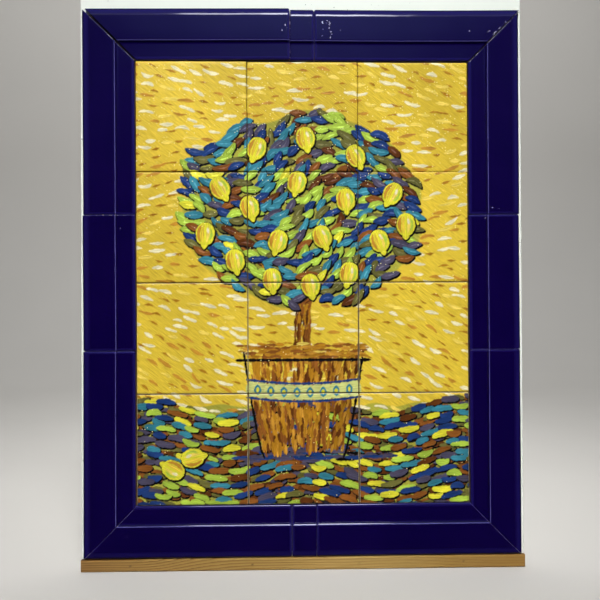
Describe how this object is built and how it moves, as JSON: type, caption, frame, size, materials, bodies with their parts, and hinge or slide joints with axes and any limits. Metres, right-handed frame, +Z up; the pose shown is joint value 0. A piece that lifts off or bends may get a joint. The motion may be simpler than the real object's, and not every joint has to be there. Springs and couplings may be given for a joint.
{
  "type": "framed tile mural",
  "caption": "Painted ceramic tile picture in a border of glazed relief tiles, glued on a flat board with a wooden ledge below.",
  "frame": {"origin": "centre of the board's flat back face, on the wall", "axes": "+Z up along the board's height, +X to the right as seen from the front, +Y into the wall; the picture faces -Y"},
  "size_m": [0.6, 0.027, 0.8],
  "materials": {
    "white_laminate": "satin",
    "pine": "bare",
    "cobalt_glaze": "gloss",
    "painted_glaze": "gloss"
  },
  "bodies": {
    "root": {"backing_board": "white_laminate", "ledge_batten": "pine", "frame_bottom_left": "cobalt_glaze", "frame_bottom_filler": "cobalt_glaze", "frame_bottom_right": "cobalt_glaze", "frame_right_lower": "cobalt_glaze", "frame_right_middle": "cobalt_glaze", "frame_right_upper": "cobalt_glaze", "frame_top_right": "cobalt_glaze", "frame_top_filler": "cobalt_glaze", "frame_top_left": "cobalt_glaze", "frame_left_upper": "cobalt_glaze", "frame_left_middle": "cobalt_glaze", "frame_left_lower": "cobalt_glaze", "picture_tile_r1_c1": "painted_glaze", "picture_tile_r1_c2": "painted_glaze", "picture_tile_r1_c3": "painted_glaze", "picture_tile_r2_c1": "painted_glaze", "picture_tile_r2_c2": "painted_glaze", "picture_tile_r2_c3": "painted_glaze", "picture_tile_r3_c1": "painted_glaze", "picture_tile_r3_c2": "painted_glaze", "picture_tile_r3_c3": "painted_glaze", "picture_tile_r4_c1": "painted_glaze", "picture_tile_r4_c2": "painted_glaze", "picture_tile_r4_c3": "painted_glaze"}
  },
  "joints": []
}
